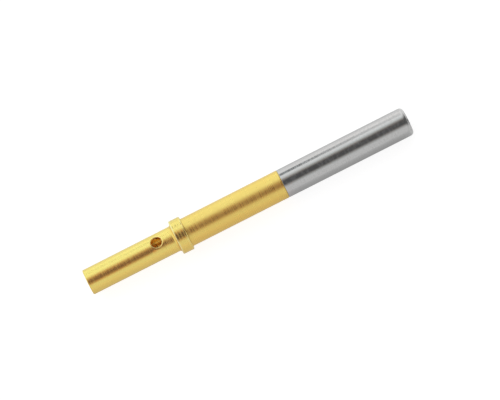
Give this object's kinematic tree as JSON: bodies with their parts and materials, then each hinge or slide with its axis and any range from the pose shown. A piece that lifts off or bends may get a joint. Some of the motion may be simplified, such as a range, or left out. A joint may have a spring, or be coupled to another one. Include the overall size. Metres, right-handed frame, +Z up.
{
  "type": "crimp socket contact",
  "caption": "Slim round crimp socket contact: gold-plated turned body with wire well, inspection hole and retention collar, under a flush steel hood that guides the mating pin.",
  "frame": {"origin": "on the contact's axis, in the front face of the retention collar", "axes": "+X along the axis, out of the mating end; the wire leaves along -X; +Z up, where the inspection hole faces"},
  "size_m": [0.024, 0.0024, 0.0024],
  "materials": {
    "gold_plating": "gold plated over a fine turned surface, satin",
    "stainless_steel": "drawn and passivated, fine satin"
  },
  "bodies": {
    "root": {"contact_body": "gold_plating", "hood": "stainless_steel"}
  },
  "joints": []
}
